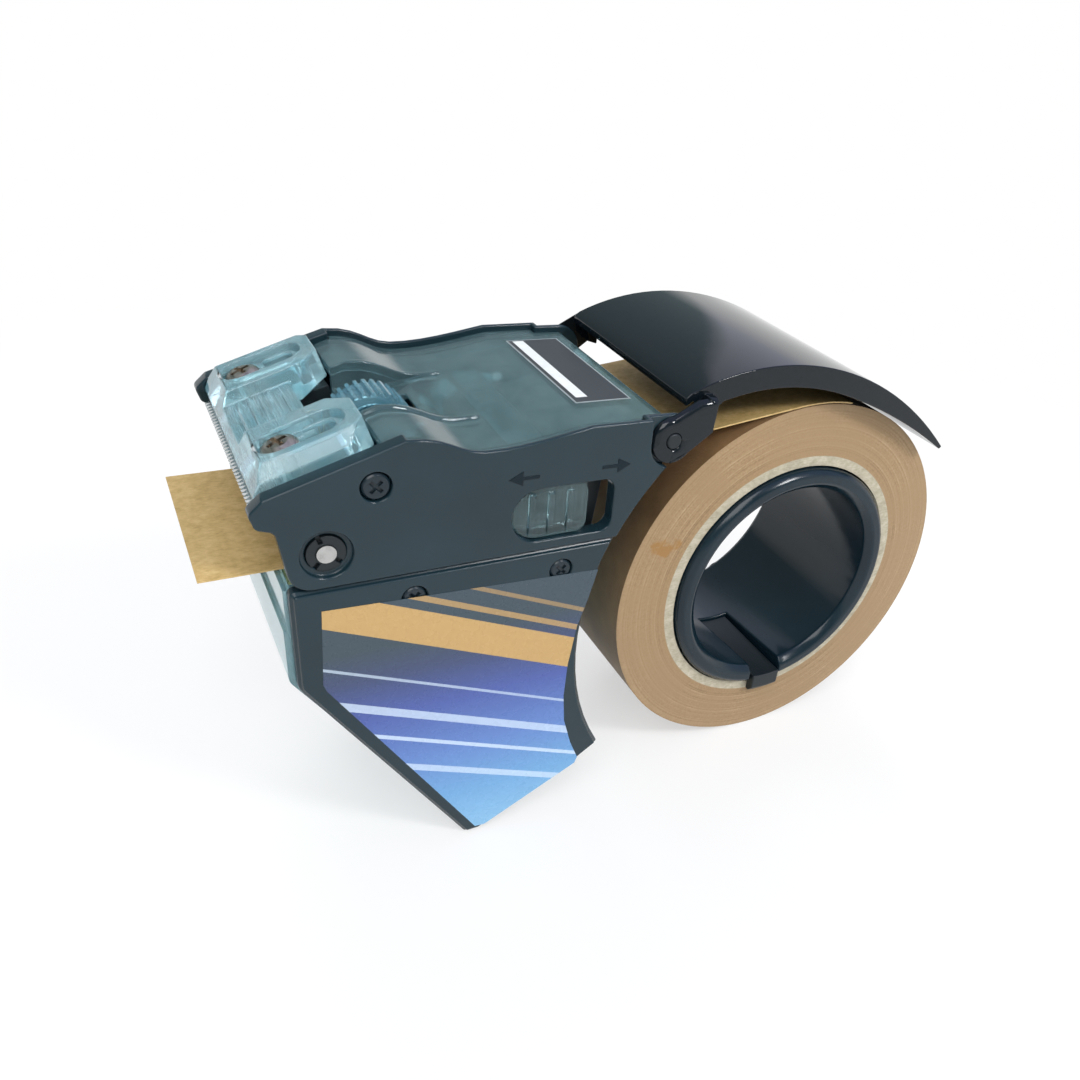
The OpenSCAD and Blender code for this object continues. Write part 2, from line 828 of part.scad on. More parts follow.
module top_cover() {
    skirt = 4.5;
    slot_y = wheel_w / 2 + 1;
    placed()
        color("#5f777c", 0.75)
            difference() {
                union() {
                    slab(-cover_y, cover_y)
                        cover_sheet(cover_t);
                    both_sides() {
                        slab(-cover_y, -cover_y + cover_t)
                            cover_sheet(skirt);
                        slab(-out_y + rim_wall + gap, -cover_y + 1)
                            wing_span()
                                cover_sheet(cover_t);
                    }
                    // raised lips beside the well, and the well's curved floor
                    both_sides()
                        slab(-well_y - 1.6, -well_y)
                            intersection() {
                                translate([0, lip_rise])
                                    cover_sheet(cover_t + lip_rise);
                                translate([cover_x0, -200])
                                    square([well_len, 400]);
                            }
                    intersection() {
                        bar(well_c, well_r + pan_t, -well_y - 1.6, well_y + 1.6);
                        slab(-well_y - 2, well_y + 2)
                            polygon([
                                [cover_x0, 0], [cover_x0, crown[1] - cover_drop - 3], crown - [0, cover_drop + 1],
                                dip - [0, cover_drop + 1], [dip[0] + 14, dip[1] - cover_drop - 1], [dip[0] + 14, 0]
                            ]);
                    }
                }
                bar(well_c, well_r, -well_y, well_y);
                bar(wheel_c, wheel_r + 1.2, -slot_y, slot_y);
                translate([cover_x0 - 1, -slot_y, wheel_c[1] - 20])
                    cube([wheel_c[0] - cover_x0 + 1, 2 * slot_y, 20]);
            }
}

// Deck under the tape: its rear lip is rolled round the tie rod
deck_x0 = pinch_c[0] + pinch_r + 2;
deck_y = in_y - gap - carriage_t - gap - 0.2;
module tape_deck() {
    deck_t = 2.2;
    front_top = [deck_x0, pinch_c[1] + pinch_r - 1.2];
    rear_top = [rod_c[0], rod_c[1] + lip_r - 0.2];
    lug_x1 = window_x - carriage_t - 3;
    placed()
        color("#1f262a")
            difference() {
                union() {
                    slab(-deck_y, deck_y)
                        polygon([front_top, rear_top, rear_top - [0, deck_t], front_top - [0, deck_t]]);
                    bar(rod_c, lip_r, -deck_y, deck_y);
                    both_sides() {
                        slab(-deck_y, -deck_y + 2)
                            polygon([
                                front_top, rear_top - [6, 0.4], [rod_c[0] - 8, plate_z + 0.6],
                                [deck_x0, plate_z + 0.6]
                            ]);
                        translate([deck_x0, -in_y + 0.05, plate_z + 0.6])
                            cube([lug_x1 - deck_x0, in_y - deck_y + 1, front_top[1] - plate_z - 1]);
                    }
                }
                bar(rod_c, rod_r + run, -in_y, in_y);
            }
}

module tie_rod() {
    placed()
        color("#b9bcbc")
            bar(rod_c, rod_r, -in_y - side_t / 2 + gap, in_y + side_t / 2 - gap);
}

// One piece: a grip in each window, a carriage behind each plate and a bar between
module lock_slider() {
    carriage_y = in_y - gap;
    top = ridge_z + 22;
    rib_x = [for (i = [1:3]) window_x + gap + grip_len * i / 4];
    placed()
        color("#8fc3cd", 0.7) {
            both_sides() {
                slab(-out_y + 1.2, -carriage_y + 0.2)
                    window(gap, grip_len + 2 * gap);
                for (x = rib_x)
                    translate([x - 0.9, -out_y + 0.1, window_z + 1.6])
                        cube([1.8, 2, window_h - 3.2]);
                translate([window_x - 1.6, -carriage_y, plate_z + 1])
                    cube([grip_len + 3.2, carriage_t, window_z + window_h + 1.4 - plate_z - 1]);
                translate([window_x + 5, -carriage_y, window_z + window_h])
                    cube([8, carriage_t, top - window_z - window_h]);
            }
            translate([window_x + 5, -carriage_y + carriage_t, top - 2.6])
                cube([8, 2 * (carriage_y - carriage_t), 2.6]);
        }
}

// ---- fender ----

fender_y = in_y - 0.15;
fender_line = [
    pivot + [5.6, 10.2],
    [pivot[0] + 30, roll_r + fender_rise + 6.4],
    [12.5, roll_r + fender_rise + 1.6],
    (roll_r + 4.7) * [cos(42.5), sin(42.5)]
];

module fender() {
    lip = pivot + [4.3, 7];
    steps = 28;
    outer = curve(fender_line, 0, steps);
    thin = [for (i = [0:steps]) cubic(fender_line, i / steps) - min(fender_t, skirt(i / steps)) * left(slope(fender_line, i / steps))];
    ear_y = out_y - 0.6;
    ear_t = recess_t - 0.6 - gap;
    jog = [8, 2];
    placed()
        color("#15191d")
            difference() {
                union() {
                    slab(-fender_y, fender_y)
                        polygon(concat([lip, lip + [-0.2, 2]], outer, reversed(thin)));
                    both_sides() {
                        slab(-fender_y, -fender_y + fender_t)
                            polygon(concat([pivot + jog + [0.6, 0]], [outer[0]], outer, reversed(skirt_edge(fender_line, steps, 3))));
                        // the ear lies in the plate's recess and steps in to the skirt
                        bar(pivot, ear_r, -ear_y, -ear_y + ear_t);
                        slab(-ear_y, -ear_y + ear_t)
                            polygon([pivot + [0, ear_r], outer[0] + [1, -1], outer[0] + [6, -0.6], pivot + jog + [3, -1], pivot + [2, -5.4]]);
                        slab(-ear_y, -fender_y + fender_t)
                            polygon([pivot + jog, outer[0] + [3.6, -0.4], outer[0] + [6, -0.6], pivot + jog + [3, -1]]);
                    }
                }
                both_sides()
                    bar(pivot, pivot_d / 2 + run, -out_y, -in_y + 1);
            }
}

module fender_pins() {
    placed()
        color("#22292d")
            both_sides()
                bar(pivot, pivot_d / 2, -out_y + 0.3, -in_y);
}

// ---- tank ----

module water_tank() {
    inner = inset(reservoir_outline, tank_wall);
    placed()
        color("#7fb3bd", 0.7)
            difference() {
                union() {
                    difference() {
                        slab(-in_y, in_y)
                            polygon(rounded(reservoir_outline));
                        slab(-in_y + tank_wall, in_y - tank_wall)
                            polygon(rounded(inner));
                        translate([front_x + 1, -in_y + tank_wall, ridge_z - 4])
                            cube([body_len + 4, 2 * (in_y - tank_wall), 8]);
                        // the front face is set back above its step
                        translate([front_x - 3, -in_y - 1, ridge_z - 11.5])
                            cube([2.3, 2 * in_y + 2, 20]);
                    }
                    both_sides()
                        bar(wet_c, rod_r + 2, -in_y + tank_wall - 0.2, -in_y + tank_wall + 3);
                }
                bar(wet_c, rod_r + run, -in_y + tank_wall, in_y - tank_wall);
                both_sides()
                    for (x = tank_screw_x)
                        bar([x, tank_screw_z], 1.25 + run, -in_y - 1, -in_y + tank_wall + 1);
            }
}

// Splash lid over the water behind the wetting roller
module tank_lid() {
    x0 = wet_c[0] + wet_r + 2.5;
    x1 = -rear_r + 3;
    z = ridge_z - 1.3;
    placed()
        color("#2a3338")
            difference() {
                union() {
                    translate([x0, -in_y + tank_wall + 0.1, z - lid_t])
                        cube([x1 - x0, 2 * (in_y - tank_wall - 0.1), lid_t]);
                    translate([x0, -in_y + tank_wall + 0.1, z - 7])
                        cube([1.6, 2 * (in_y - tank_wall - 0.1), 7]);
                }
                for (x = tank_screw_x)
                    both_sides()
                        bar([x, tank_screw_z], 2, -in_y, -in_y + tank_wall + 1.5);
            }
}

module tank_side() {
    difference() {
        union() {
            slab(-out_y + 1, -in_y)
                polygon(rounded(tank_outline));
            slab(-out_y, -out_y + 1)
                polygon(rounded(inset(tank_outline, 0.8)));
        }
        for (x = tank_screw_x) {
            bar([x, tank_screw_z], 3, -out_y - 1, -out_y + 1.6);
            bar([x, tank_screw_z], 1.25 + run, -out_y, -in_y + 1);
        }
    }
}

module tank_side_near() {
    placed()
        color("#2a3338")
            tank_side();
}

module tank_side_far() {
    placed()
        color("#2a3338")
            mirror([0, 1, 0])
                tank_side();
}

module tank_screws() {
    tank_head_r = 2.8;
    shank_len = 4;
    placed()
        color("#3a4145")
            both_sides()
                for (x = tank_screw_x)
                    screw([x, tank_screw_z], -out_y + 0.2, tank_head_r, 1.3, 1.25, shank_len);
}

side_plate_near();
side_plate_far();
roll_hub();
hub_screws();
roll_catch();
roll_core();
paper_roll();
tape_strip();
top_cover();
thumb_wheel();
wheel_shaft();
wheel_spacers();
pinch_roller();
pinch_axle();
front_roller();
front_axle();
axle_bushes();
cutter_bridge();
cutter_head();
blade();
cutter_screws();
side_screws();
tape_deck();
tie_rod();
lock_slider();
fender();
fender_pins();
water_tank();
tank_lid();
tank_side_near();
tank_side_far();
tank_screws();
wetting_roller();
wetting_axle();
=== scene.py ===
"""Gummed paper tape dispenser: finishes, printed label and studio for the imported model."""

import math

import bmesh
import bpy
from bpy.props import FloatProperty, FloatVectorProperty, PointerProperty, StringProperty
from mathutils import Matrix, Vector
from mathutils.bvhtree import BVHTree


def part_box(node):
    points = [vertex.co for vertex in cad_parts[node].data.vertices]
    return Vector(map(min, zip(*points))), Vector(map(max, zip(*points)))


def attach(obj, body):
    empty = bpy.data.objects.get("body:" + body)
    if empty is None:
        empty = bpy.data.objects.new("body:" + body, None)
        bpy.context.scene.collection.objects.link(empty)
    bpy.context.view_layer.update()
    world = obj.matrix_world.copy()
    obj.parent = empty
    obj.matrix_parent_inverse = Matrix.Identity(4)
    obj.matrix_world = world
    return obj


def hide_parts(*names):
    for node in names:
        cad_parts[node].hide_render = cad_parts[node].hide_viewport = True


bl_info = {
    "name": "Gummed Tape Dispenser",
    "version": (1, 0, 0),
    "blender": (4, 5, 0),
    "location": "View3D > Sidebar > Dispenser",
    "description": "Dresses the packed tape dispenser with its finishes and sets up the studio",
    "category": "Object",
}

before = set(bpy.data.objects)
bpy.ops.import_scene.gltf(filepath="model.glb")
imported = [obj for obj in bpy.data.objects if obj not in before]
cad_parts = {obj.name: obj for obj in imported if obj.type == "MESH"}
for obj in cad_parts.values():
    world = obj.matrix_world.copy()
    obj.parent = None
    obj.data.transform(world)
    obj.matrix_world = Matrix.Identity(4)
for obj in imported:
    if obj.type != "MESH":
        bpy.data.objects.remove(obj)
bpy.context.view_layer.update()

MM = 0.001

# ---- places, from the frame ----

ROLL_LOW, ROLL_HIGH = (Vector(corner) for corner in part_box("paper_roll"))
ROLL_AXIS = (ROLL_LOW + ROLL_HIGH) / 2
# outer face of the tank's near side, which the side plate above it shares
NEAR_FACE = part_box("tank_side_near")[0][1]
# the dried spot of gum, on the roll's near edge
GUM_SPOT = Vector((7.5 * MM, ROLL_LOW.y, 75.0 * MM))

# ---- sizes in millimetres ----

# the label's outline on the tank: top edge, hollow rear edge, foot and slanted front edge
LABEL_OUTLINE = [
    (-85.9, 83.8), (-18.4, 80.9), (-20.4, 72.6), (-22.9, 64.5), (-24.6, 52.5),
    (-25.0, 42.0), (-24.2, 33.0), (-21.6, 24.0), (-18.9, 17.4), (-19.6, 15.4),
    (-46.6, 1.6), (-49.4, 1.8), (-86.2, 61.6), (-86.9, 63.6),
]

# the bare plate on the cover, the grey rim that it stands on and the pale strip at its front
PLATE_X, PLATE_Y = (-19.3, -5.1), (-18.1, 24.7)
STRIP_X, STRIP_Y = (-18.3, -15.2), (-15.6, 24.1)
RIM = 0.5
RIM_LIFT = 0.1
FILM_LIFT = 0.06

# the arrows over the lock's window, one to each side
ARROW_TIPS = {"lock_arrow_front": (-43.4, 1), "lock_arrow_rear": (-12.6, -1)}
ARROW_Z = 109.2
ARROW_LENGTH = 7.4
ARROW_HEAD = 3.4
ARROW_HEAD_HALF = 1.8
ARROW_STEM_HALF = 0.4

# corners closer than DOUBLE are one corner, a corner as near as SKIN to a face lies on it, and an edge whose
# ends are no further apart than UPRIGHT along X stands upright
DOUBLE = 0.002
SKIN = 0.05
UPRIGHT = 0.1

# ---- angles in degrees ----

# faces that meet at less than FLAT are one face, and a bend of more than SHARP is an edge to round;
# what then bends by less than SMOOTH is shaded round, and the fender's shoulders bend by more than SHOULDER
FLAT = 0.3
SHARP = 38.0
SMOOTH = 50.0
SHOULDER = 60.0

# ---- stage ----

# the photograph's side in pixels, and the pixel that the lens points at
PHOTO_PX = 1080
AXIS_PX = (632.34, 597.69)
SENSOR_MM = 36.0

FLOOR_HALF = 4.0
# the floor lies this much under the tank's foot, so that the two don't flicker
FLOOR_DROP = 0.2 * MM

# name, place in metres, side in metres and power in watts
LAMPS = (
    ("key", (-0.5, -0.7, 1.1), 0.8, 9.5),
    ("edge", (0.5, -0.86, 0.87), 0.25, 7.5),
    ("rear", (0.2, 0.9, 0.9), 0.9, 7.0),
)
LAMPS_AIM = Vector((0.0, 0.0, 0.05))


# ---- colour and node helpers ----


def to_linear(code):
    """An sRGB hex colour as linear RGBA, which the shader sockets take."""
    parts = [int(code[i : i + 2], 16) / 255 for i in (1, 3, 5)]
    return [c / 12.92 if c <= 0.04045 else ((c + 0.055) / 1.055) ** 2.4 for c in parts] + [1.0]


def scale_for(size_mm):
    """The Scale that gives a pattern features of about this size."""
    return 1 / (size_mm * MM)


def add(owner, kind, sockets=(), stops=(), **settings):
    """Adds a node to a material or world: its settings, its sockets' values and a colour ramp's stops.

    A socket takes a value, or (node, output) to link from. A stop is a position with an sRGB hex colour
    or a share from 0 to 1."""
    node = owner.node_tree.nodes.new(kind)
    for key, value in settings.items():
        setattr(node, key, value)
    for socket, value in dict(sockets).items():
        if isinstance(value, tuple) and isinstance(value[0], bpy.types.Node):
            owner.node_tree.links.new(value[0].outputs[value[1]], node.inputs[socket])
        else:
            node.inputs[socket].default_value = value
    if stops:
        elements = node.color_ramp.elements
        while len(elements) < len(stops):
            elements.new(0.5)
        for element, (position, tone) in zip(elements, stops):
            element.position = position
            element.color = to_linear(tone) if isinstance(tone, str) else (tone, tone, tone, 1.0)
    return node


def blank(name):
    """A new material without any node."""
    material = bpy.data.materials.new(name)
    material.use_nodes = True
    material.node_tree.nodes.clear()
    return material


# ---- materials ----


def satin_black(name, code, lighter, rough=0.2, grain_mm=0.5, grain=0.03, shine=0.34):
    """A satin black skin with a grey sheen, a faint grain and soft wear.

    It is ABS from a spark-eroded mould, and with another grain blackened steel or matt film."""
    material = blank(name)
    place = add(material, "ShaderNodeTexCoord")
    spots = add(
        material,
        "ShaderNodeTexNoise",
        {"Vector": (place, "Object"), "Scale": scale_for(grain_mm), "Detail": 3.0, "Roughness": 0.6},
    )
    cloud = add(
        material, "ShaderNodeTexNoise", {"Vector": (place, "Object"), "Scale": scale_for(22), "Detail": 5.0}
    )
    colour = add(material, "ShaderNodeValToRGB", {"Fac": (cloud, "Fac")}, stops=[(0.2, code), (0.8, lighter)])
    gloss = add(
        material,
        "ShaderNodeMapRange",
        {
            "Value": (cloud, "Fac"),
            "From Min": 0.2,
            "From Max": 0.8,
            "To Min": rough - 0.03,
            "To Max": rough + 0.05,
        },
    )
    edge = add(material, "ShaderNodeBevel", {"Radius": 0.35 * MM}, samples=4)
    relief = add(
        material,
        "ShaderNodeBump",
        {"Height": (spots, "Fac"), "Strength": grain, "Distance": 0.05 * MM, "Normal": (edge, "Normal")},
    )
    shader = add(
        material,
        "ShaderNodeBsdfPrincipled",
        {
            "Base Color": (colour, "Color"),
            "Roughness": (gloss, "Result"),
            "Normal": (relief, "Normal"),
            "IOR": 1.54,
            "Specular IOR Level": shine,
        },
    )
    add(material, "ShaderNodeOutputMaterial", {"Surface": (shader, "BSDF")})
    return material


def gloss_abs(name, code, dusty, rough=0.04):
    """Polished black ABS: a deep mirror-like gloss, the slight waviness of a moulding and a little dust."""
    material = blank(name)
    place = add(material, "ShaderNodeTexCoord")
    wave = add(
        material, "ShaderNodeTexNoise", {"Vector": (place, "Object"), "Scale": scale_for(18), "Detail": 1.0}
    )
    dust = add(
        material, "ShaderNodeTexNoise", {"Vector": (place, "Object"), "Scale": scale_for(1.2), "Detail": 4.0}
    )
    gloss = add(
        material,
        "ShaderNodeMapRange",
        {"Value": (dust, "Fac"), "From Min": 0.35, "From Max": 0.8, "To Min": rough, "To Max": rough + 0.05},
    )
    relief = add(
        material, "ShaderNodeBump", {"Height": (wave, "Fac"), "Strength": 0.06, "Distance": 0.6 * MM}
    )
    colour = add(material, "ShaderNodeValToRGB", {"Fac": (dust, "Fac")}, stops=[(0.4, code), (0.8, dusty)])
    shader = add(
        material,
        "ShaderNodeBsdfPrincipled",
        {
            "Base Color": (colour, "Color"),
            "Roughness": (gloss, "Result"),
            "Normal": (relief, "Normal"),
            "IOR": 1.54,
            "Specular IOR Level": 0.3,
        },
    )
    add(material, "ShaderNodeOutputMaterial", {"Surface": (shader, "BSDF")})
    return material


def clear_plastic(name, code, deep, rough=0.06, clear=0.8, shine=0.5):
    """Clear tinted polycarbonate: see-through, with flow marks and a sharp surface gloss."""
    material = blank(name)
    place = add(material, "ShaderNodeTexCoord")
    flow = add(
        material,
        "ShaderNodeTexNoise",
        {"Vector": (place, "Object"), "Scale": scale_for(9), "Detail": 4.0, "Distortion": 0.6},
    )
    colour = add(material, "ShaderNodeValToRGB", {"Fac": (flow, "Fac")}, stops=[(0.3, deep), (0.62, code)])
    gloss = add(
        material,
        "ShaderNodeMapRange",
        {"Value": (flow, "Fac"), "From Min": 0.3, "From Max": 0.8, "To Min": rough, "To Max": rough * 2.2},
    )
    edge = add(material, "ShaderNodeBevel", {"Radius": 0.4 * MM}, samples=4)
    relief = add(
        material,
        "ShaderNodeBump",
        {"Height": (flow, "Fac"), "Strength": 0.08, "Distance": 0.4 * MM, "Normal": (edge, "Normal")},
    )
    # the IOR is matched to the photograph, a little under polycarbonate's own 1.58
    shader = add(
        material,
        "ShaderNodeBsdfPrincipled",
        {
            "Base Color": (colour, "Color"),
            "Roughness": (gloss, "Result"),
            "Normal": (relief, "Normal"),
            "IOR": 1.45,
            "Transmission Weight": clear,
            "Specular IOR Level": shine,
        },
    )
    add(material, "ShaderNodeOutputMaterial", {"Surface": (shader, "BSDF")})
    return material


def roll_rings(material, place, fibre, stain):
    """The turns on the roll's cut edges: their colours, and the height that their relief takes."""
    centred = add(material, "ShaderNodeMapping", {"Vector": (place, "Object"), "Location": -ROLL_AXIS})
    across = add(material, "ShaderNodeSeparateXYZ", {"Vector": (centred, "Vector")})
    flat = add(material, "ShaderNodeCombineXYZ", {"X": (across, "X"), "Z": (across, "Z")})
    radius = add(material, "ShaderNodeVectorMath", {0: (flat, "Vector")}, operation="LENGTH")
    # turns of 0.15 mm paper are too fine to show, so the rings are drawn 0.55 mm apart, in bands of 2.6 mm
    turns = add(
        material,
        "ShaderNodeTexNoise",
        {"W": (radius, "Value"), "Scale": scale_for(0.55), "Detail": 3.0},
        noise_dimensions="1D",
    )
    bands = add(
        material,
        "ShaderNodeTexNoise",
        {"W": (radius, "Value"), "Scale": scale_for(2.6), "Detail": 2.0},
        noise_dimensions="1D",
    )
    mixed = add(material, "ShaderNodeMix", {"Factor": 0.5, "A": (turns, "Fac"), "B": (bands, "Fac")})
    fuzz = add(material, "ShaderNodeMix", {"Factor": 0.3, "A": (mixed, "Result"), "B": (fibre, "Fac")})
    # the rings fade in and out round the roll, so that none runs all the way
    patchy = add(
        material,
        "ShaderNodeMapRange",
        {"Value": (stain, "Fac"), "From Min": 0.42, "From Max": 0.62, "To Min": 0.25, "To Max": 0.95},
    )
    uneven = add(
        material, "ShaderNodeMix", {"Factor": (patchy, "Result"), "A": 0.49, "B": (fuzz, "Result")}
    )
    rings = add(
        material,
        "ShaderNodeValToRGB",
        {"Fac": (uneven, "Result")},
        stops=[(0.3, "#785f3f"), (0.46, "#937753"), (0.56, "#a08561"), (0.72, "#b39b77")],
    )
    return rings, fuzz


def gum_share(material, place):
    """How much dried gum covers the paper: a spot some 7 mm wide whose edge a noise pushes in and out."""
    push_mm, full_mm, bare_mm = 16.0, 10.2, 11.6
    spot = add(
        material, "ShaderNodeVectorMath", {0: (place, "Object"), 1: GUM_SPOT}, operation="DISTANCE"
    )
    drip = add(
        material, "ShaderNodeTexNoise", {"Vector": (place, "Object"), "Scale": scale_for(4.5), "Detail": 3.0}
    )
    wander = add(
        material,
        "ShaderNodeMath",
        {0: (drip, "Fac"), 1: push_mm * MM, 2: (spot, "Value")},
        operation="MULTIPLY_ADD",
    )
    return add(
        material,
        "ShaderNodeMapRange",
        {
            "Value": (wander, "Value"),
            "From Min": full_mm * MM,
            "From Max": bare_mm * MM,
            "To Min": 0.8,
            "To Max": 0.0,
        },
    )


def kraft_roll(name):
    """Gummed kraft paper wound tight: brown outer turn, and pale cut edges whose turns show as rings."""
    material = blank(name)
    place = add(material, "ShaderNodeTexCoord")
    fibre = add(
        material, "ShaderNodeTexNoise", {"Vector": (place, "Object"), "Scale": scale_for(0.7), "Detail": 5.0}
    )
    stain = add(
        material, "ShaderNodeTexNoise", {"Vector": (place, "Object"), "Scale": scale_for(16), "Detail": 6.0}
    )
    rings, fuzz = roll_rings(material, place, fibre, stain)
    edges = add(
        material,
        "ShaderNodeMix",
        {"Factor": (gum_share(material, place), "Result"), "A": (rings, "Color"), "B": to_linear("#946a30")},
        data_type="RGBA",
    )
    outer = add(
        material,
        "ShaderNodeValToRGB",
        {"Fac": (stain, "Fac")},
        stops=[(0.3, "#674a28"), (0.5, "#7b5c36"), (0.7, "#8d6b40")],
    )
    # the cut edges are the faces that look along the roll's axis
    facing = add(material, "ShaderNodeNewGeometry")
    lean = add(material, "ShaderNodeSeparateXYZ", {"Vector": (facing, "Normal")})
    sideways = add(material, "ShaderNodeMath", {0: (lean, "Y")}, operation="ABSOLUTE")
    is_edge = add(material, "ShaderNodeMath", {0: (sideways, "Value"), 1: 0.5}, operation="GREATER_THAN")
    colour = add(
        material,
        "ShaderNodeMix",
        {"Factor": (is_edge, "Value"), "A": (outer, "Color"), "B": (edges, "Result")},
        data_type="RGBA",
    )
    height = add(
        material,
        "ShaderNodeMix",
        {"Factor": (is_edge, "Value"), "A": (fibre, "Fac"), "B": (fuzz, "Result")},
    )
    relief = add(
        material, "ShaderNodeBump", {"Height": (height, "Result"), "Strength": 0.35, "Distance": 0.25 * MM}
    )
    shader = add(
        material,
        "ShaderNodeBsdfPrincipled",
        {
            "Base Color": (colour, "Result"),
            "Normal": (relief, "Normal"),
            "Roughness": 0.72,
            "Sheen Weight": 0.15,
        },
    )
    add(material, "ShaderNodeOutputMaterial", {"Surface": (shader, "BSDF")})
    return material


def thin_sheet(name, stops, rough=0.55):
    """One sheet of paper, board or printed film: cloudy, with short fibres and a slight calendered sheen."""
    material = blank(name)
    place = add(material, "ShaderNodeTexCoord")
    pulp = add(
        material,
        "ShaderNodeTexNoise",
        {"Vector": (place, "Object"), "Scale": scale_for(2.4), "Detail": 7.0, "Roughness": 0.65},
    )
    # fibres 0.35 mm wide are drawn four times as long, along the tape
    stretched = add(
        material, "ShaderNodeMapping", {"Vector": (place, "Object"), "Scale": (0.25, 1.0, 1.0)}
    )
    fibre = add(
        material,
        "ShaderNodeTexNoise",
        {"Vector": (stretched, "Vector"), "Scale": scale_for(0.35), "Detail": 3.0},
    )
    mixed = add(material, "ShaderNodeMix", {"Factor": 0.35, "A": (pulp, "Fac"), "B": (fibre, "Fac")})
    colour = add(material, "ShaderNodeValToRGB", {"Fac": (mixed, "Result")}, stops=stops)
    relief = add(
        material, "ShaderNodeBump", {"Height": (mixed, "Result"), "Strength": 0.25, "Distance": 0.1 * MM}
    )
    shader = add(
        material,
        "ShaderNodeBsdfPrincipled",
        {"Base Color": (colour, "Color"), "Normal": (relief, "Normal"), "Roughness": rough},
    )
    add(material, "ShaderNodeOutputMaterial", {"Surface": (shader, "BSDF")})
    return material


def rubber(name, code, dusty):
    """Nitrile rubber ground round: dull, dark, with fine grinding lines."""
    material = blank(name)
    place = add(material, "ShaderNodeTexCoord")
    ground = add(
        material, "ShaderNodeTexNoise", {"Vector": (place, "Object"), "Scale": scale_for(0.4), "Detail": 2.0}
    )
    colour = add(material, "ShaderNodeValToRGB", {"Fac": (ground, "Fac")}, stops=[(0.3, code), (0.8, dusty)])
    relief = add(
        material, "ShaderNodeBump", {"Height": (ground, "Fac"), "Strength": 0.2, "Distance": 0.08 * MM}
    )
    shader = add(
        material,
        "ShaderNodeBsdfPrincipled",
        {"Base Color": (colour, "Color"), "Normal": (relief, "Normal"), "Roughness": 0.7},
    )
    add(material, "ShaderNodeOutputMaterial", {"Surface": (shader, "BSDF")})
    return material


def steel(name, code, darker, rough=0.3, streak_mm=0.3):
    """Drawn, stamped or plated steel: grey metal with fine streaks across the tape's way."""
    material = blank(name)
    place = add(material, "ShaderNodeTexCoord")
    drawn = add(material, "ShaderNodeMapping", {"Vector": (place, "Object"), "Scale": (1.0, 0.08, 1.0)})
    streak = add(
        material,
        "ShaderNodeTexNoise",
        {"Vector": (drawn, "Vector"), "Scale": scale_for(streak_mm), "Detail": 3.0},
    )
    colour = add(material, "ShaderNodeValToRGB", {"Fac": (streak, "Fac")}, stops=[(0.3, darker), (0.6, code)])
    gloss = add(
        material,
        "ShaderNodeMapRange",
        {
            "Value": (streak, "Fac"),
            "From Min": 0.3,
            "From Max": 0.8,
            "To Min": rough - 0.06,
            "To Max": rough + 0.12,
        },
    )
    shader = add(
        material,
        "ShaderNodeBsdfPrincipled",
        {"Base Color": (colour, "Color"), "Roughness": (gloss, "Result"), "Metallic": 1.0},
    )
    add(material, "ShaderNodeOutputMaterial", {"Surface": (shader, "BSDF")})
    return material


def foam(name, pore_shade, skin):
    """Open-cell wetting foam: pale, matt and full of small pores, which are painted darker as painted shade
    in them.
    """
    material = blank(name)
    place = add(material, "ShaderNodeTexCoord")
    pores = add(material, "ShaderNodeTexVoronoi", {"Vector": (place, "Object"), "Scale": scale_for(0.9)})
    # the pits of the relief take the darker colour: painted shade in the pores
    colour = add(
        material, "ShaderNodeValToRGB", {"Fac": (pores, "Distance")}, stops=[(0.1, pore_shade), (0.5, skin)]
    )
    relief = add(
        material, "ShaderNodeBump", {"Height": (pores, "Distance"), "Strength": 0.7, "Distance": 0.4 * MM}
    )
    shader = add(
        material,
        "ShaderNodeBsdfPrincipled",
        {"Base Color": (colour, "Color"), "Normal": (relief, "Normal"), "Roughness": 0.9},
    )
    add(material, "ShaderNodeOutputMaterial", {"Surface": (shader, "BSDF")})
    return material


def label_ink(material, place):
    """The label's print: a blue fade from the tank's foot up, crossed by slanted stripes."""
    height = add(material, "ShaderNodeSeparateXYZ", {"Vector": (place, "Object")})
    rise = add(material, "ShaderNodeMapRange", {"Value": (height, "Z"), "From Min": 0.0, "From Max": 84 * MM})
    fade = add(
        material,
        "ShaderNodeValToRGB",
        {"Fac": (rise, "Result")},
        stops=[
            (0.0, "#86b8da"),
            (0.2, "#6a9fcd"),
            (0.4, "#5b7dbb"),
            (0.6, "#45579a"),
            (0.74, "#3a4669"),
            (0.84, "#374650"),
        ],
    )
    slant = add(
        material,
        "ShaderNodeMapping",
        {"Vector": (place, "Object"), "Rotation": (0.0, math.radians(-24), 0.0)},
    )
    along = add(material, "ShaderNodeSeparateXYZ", {"Vector": (slant, "Vector")})
    steps = add(
        material,
        "ShaderNodeMapRange",
        {"Value": (along, "Z"), "From Min": -10 * MM, "From Max": 90 * MM},
    )
    # stripes 9 mm to 0.8 mm wide: 0.01 along a ramp is 1 mm across the stripes, and each stop sets
    # the ink's share from there on
    tan = [(0.0, 0), (0.47, 1), (0.56, 0), (0.585, 0.7), (0.6, 0), (0.64, 0.5), (0.652, 0)]
    pale = [(0.0, 0), (0.1, 0.6), (0.12, 0), (0.19, 0.7), (0.2, 0), (0.26, 0.6), (0.285, 0)]
    pale += [(0.36, 0.5), (0.368, 0)]
    ink = (fade, "Color")
    for code, stops in (("#b9965f", tan), ("#cfe0f0", pale)):
        stripes = add(material, "ShaderNodeValToRGB", {"Fac": (steps, "Result")}, stops=stops)
        stripes.color_ramp.interpolation = "CONSTANT"
        printed = add(
            material,
            "ShaderNodeMix",
            {"Factor": (stripes, "Color"), "A": ink, "B": to_linear(code)},
            data_type="RGBA",
        )
        ink = (printed, "Result")
    return ink


